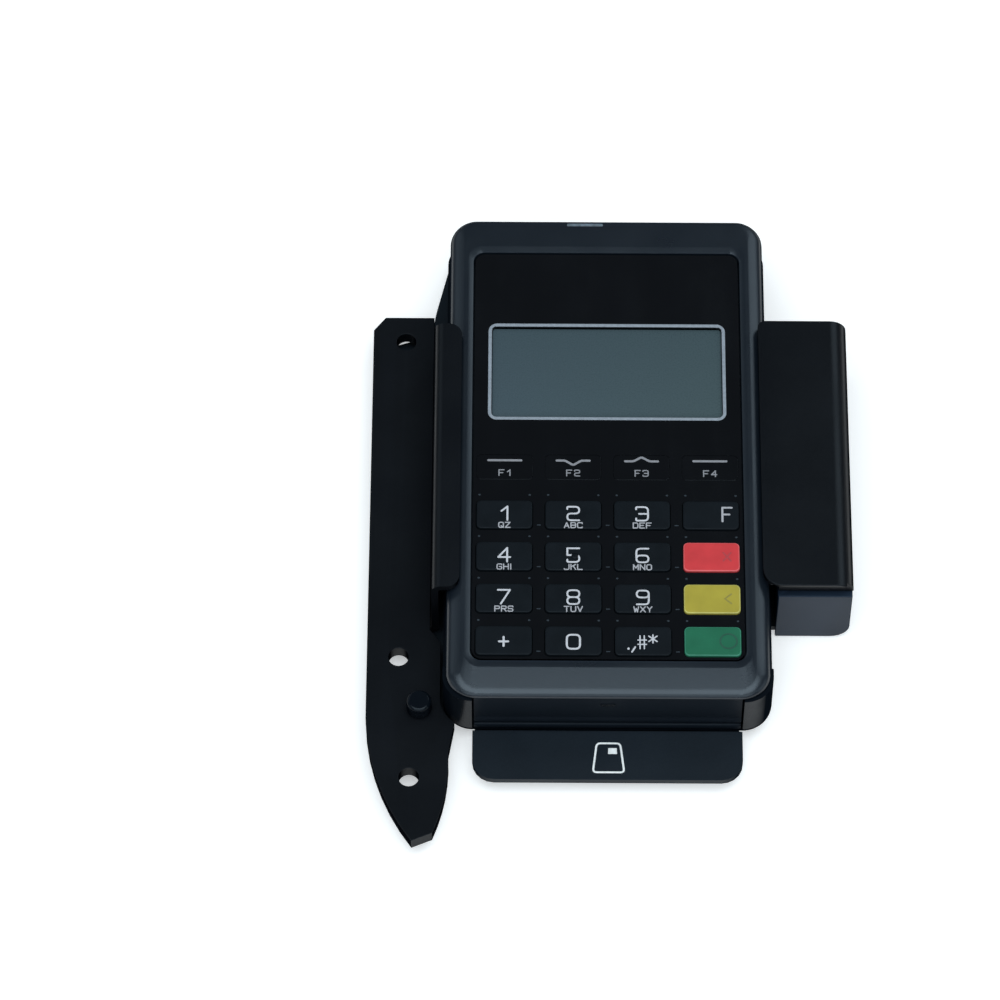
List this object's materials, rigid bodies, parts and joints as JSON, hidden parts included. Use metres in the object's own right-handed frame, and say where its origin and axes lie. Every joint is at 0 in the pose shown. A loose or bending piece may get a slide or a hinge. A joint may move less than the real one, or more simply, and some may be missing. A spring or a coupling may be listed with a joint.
{
  "type": "card payment terminal",
  "caption": "Pocket card payment terminal with keypad and display, held in a bent-metal cradle with a clamp block, a card guide and a mounting arm",
  "frame": {"origin": "on the cradle's flat rear face, under the middle of the terminal", "axes": "+X to the right of the keypad, +Y from the keypad towards the display, +Z out of the terminal face"},
  "size_m": [0.1, 0.1446, 0.0206],
  "materials": {
    "satin_plastic": "satin moulded",
    "gloss_shell": "high gloss",
    "gloss_panel": "high gloss, printed behind",
    "silver_ink": "satin printed line",
    "display_window": "clear window over a grey-green display",
    "grey_plastic": "moulded",
    "grey_rubber": "matt",
    "circuit_board": "solder mask",
    "battery_wrap": "shrink wrap",
    "slot_plastic": "fine texture",
    "light_guide": "clear light guide",
    "black_plastic": "moulded",
    "steel": "plain",
    "powder_coat": "fine powder coat",
    "pad_rubber": "matt",
    "block_plastic": "satin moulded",
    "key_rubber": "satin",
    "key_red": "satin",
    "key_yellow": "satin",
    "key_green": "satin"
  },
  "bodies": {
    "cradle": {"cradle_back": "powder_coat", "left_jaw": "powder_coat", "jaw_pad": "pad_rubber", "right_block_front": "powder_coat", "right_block_rear": "block_plastic", "mount_rail": "powder_coat", "rail_boss": "gloss_shell", "power_inlet": "steel", "dock_board": "circuit_board", "rail_screw_1": "steel", "rail_screw_2": "steel", "rail_screw_3": "steel", "block_screw_1": "steel", "block_screw_2": "steel"},
    "terminal": {"front_bezel": "satin_plastic", "rear_shell": "gloss_shell", "front_panel": "gloss_panel", "display_trim": "silver_ink", "display_lens": "display_window", "display_module": "grey_plastic", "keypad_mat": "grey_rubber", "main_board": "circuit_board", "battery_pack": "battery_wrap", "chip_card_reader": "grey_plastic", "slot_surround": "slot_plastic", "status_light": "light_guide", "buzzer": "black_plastic", "backup_cell": "steel", "radio_module": "steel", "terminal_screw_1": "steel", "terminal_screw_2": "steel", "terminal_screw_3": "steel", "terminal_screw_4": "steel"},
    "battery_door": {"battery_door": "satin_plastic"},
    "key_f1": {"key_f1": "key_rubber"},
    "key_f2": {"key_f2": "key_rubber"},
    "key_f3": {"key_f3": "key_rubber"},
    "key_f4": {"key_f4": "key_rubber"},
    "key_1": {"key_1": "key_rubber"},
    "key_2": {"key_2": "key_rubber"},
    "key_3": {"key_3": "key_rubber"},
    "key_function": {"key_function": "key_rubber"},
    "key_4": {"key_4": "key_rubber"},
    "key_5": {"key_5": "key_rubber"},
    "key_6": {"key_6": "key_rubber"},
    "key_cancel": {"key_cancel": "key_red"},
    "key_7": {"key_7": "key_rubber"},
    "key_8": {"key_8": "key_rubber"},
    "key_9": {"key_9": "key_rubber"},
    "key_clear": {"key_clear": "key_yellow"},
    "key_plus": {"key_plus": "key_rubber"},
    "key_0": {"key_0": "key_rubber"},
    "key_symbols": {"key_symbols": "key_rubber"},
    "key_enter": {"key_enter": "key_green"}
  },
  "joints": [
    {"name": "terminal_slide", "type": "slide", "parent": "cradle", "child": "terminal", "axis": [0, 1, 0], "range_m": [0, 0.12]},
    {"name": "battery_door_slide", "type": "slide", "parent": "terminal", "child": "battery_door", "axis": [0, 1, 0], "range_m": [0, 0.064]},
    {"name": "key_f1_press", "type": "slide", "parent": "terminal", "child": "key_f1", "axis": [0, 0, -1], "range_m": [0, 0.0005], "stiffness_N_per_m": 90, "springref_m": -0.0006},
    {"name": "key_f2_press", "type": "slide", "parent": "terminal", "child": "key_f2", "axis": [0, 0, -1], "range_m": [0, 0.0005], "stiffness_N_per_m": 90, "springref_m": -0.0006},
    {"name": "key_f3_press", "type": "slide", "parent": "terminal", "child": "key_f3", "axis": [0, 0, -1], "range_m": [0, 0.0005], "stiffness_N_per_m": 90, "springref_m": -0.0006},
    {"name": "key_f4_press", "type": "slide", "parent": "terminal", "child": "key_f4", "axis": [0, 0, -1], "range_m": [0, 0.0005], "stiffness_N_per_m": 90, "springref_m": -0.0006},
    {"name": "key_1_press", "type": "slide", "parent": "terminal", "child": "key_1", "axis": [0, 0, -1], "range_m": [0, 0.0008], "stiffness_N_per_m": 90, "springref_m": -0.0006},
    {"name": "key_2_press", "type": "slide", "parent": "terminal", "child": "key_2", "axis": [0, 0, -1], "range_m": [0, 0.0008], "stiffness_N_per_m": 90, "springref_m": -0.0006},
    {"name": "key_3_press", "type": "slide", "parent": "terminal", "child": "key_3", "axis": [0, 0, -1], "range_m": [0, 0.0008], "stiffness_N_per_m": 90, "springref_m": -0.0006},
    {"name": "key_function_press", "type": "slide", "parent": "terminal", "child": "key_function", "axis": [0, 0, -1], "range_m": [0, 0.0008], "stiffness_N_per_m": 90, "springref_m": -0.0006},
    {"name": "key_4_press", "type": "slide", "parent": "terminal", "child": "key_4", "axis": [0, 0, -1], "range_m": [0, 0.0008], "stiffness_N_per_m": 90, "springref_m": -0.0006},
    {"name": "key_5_press", "type": "slide", "parent": "terminal", "child": "key_5", "axis": [0, 0, -1], "range_m": [0, 0.0008], "stiffness_N_per_m": 90, "springref_m": -0.0006},
    {"name": "key_6_press", "type": "slide", "parent": "terminal", "child": "key_6", "axis": [0, 0, -1], "range_m": [0, 0.0008], "stiffness_N_per_m": 90, "springref_m": -0.0006},
    {"name": "key_cancel_press", "type": "slide", "parent": "terminal", "child": "key_cancel", "axis": [0, 0, -1], "range_m": [0, 0.0008], "stiffness_N_per_m": 90, "springref_m": -0.0006},
    {"name": "key_7_press", "type": "slide", "parent": "terminal", "child": "key_7", "axis": [0, 0, -1], "range_m": [0, 0.0008], "stiffness_N_per_m": 90, "springref_m": -0.0006},
    {"name": "key_8_press", "type": "slide", "parent": "terminal", "child": "key_8", "axis": [0, 0, -1], "range_m": [0, 0.0008], "stiffness_N_per_m": 90, "springref_m": -0.0006},
    {"name": "key_9_press", "type": "slide", "parent": "terminal", "child": "key_9", "axis": [0, 0, -1], "range_m": [0, 0.0008], "stiffness_N_per_m": 90, "springref_m": -0.0006},
    {"name": "key_clear_press", "type": "slide", "parent": "terminal", "child": "key_clear", "axis": [0, 0, -1], "range_m": [0, 0.0008], "stiffness_N_per_m": 90, "springref_m": -0.0006},
    {"name": "key_plus_press", "type": "slide", "parent": "terminal", "child": "key_plus", "axis": [0, 0, -1], "range_m": [0, 0.0008], "stiffness_N_per_m": 90, "springref_m": -0.0006},
    {"name": "key_0_press", "type": "slide", "parent": "terminal", "child": "key_0", "axis": [0, 0, -1], "range_m": [0, 0.0008], "stiffness_N_per_m": 90, "springref_m": -0.0006},
    {"name": "key_symbols_press", "type": "slide", "parent": "terminal", "child": "key_symbols", "axis": [0, 0, -1], "range_m": [0, 0.0008], "stiffness_N_per_m": 90, "springref_m": -0.0006},
    {"name": "key_enter_press", "type": "slide", "parent": "terminal", "child": "key_enter", "axis": [0, 0, -1], "range_m": [0, 0.0008], "stiffness_N_per_m": 90, "springref_m": -0.0006}
  ]
}
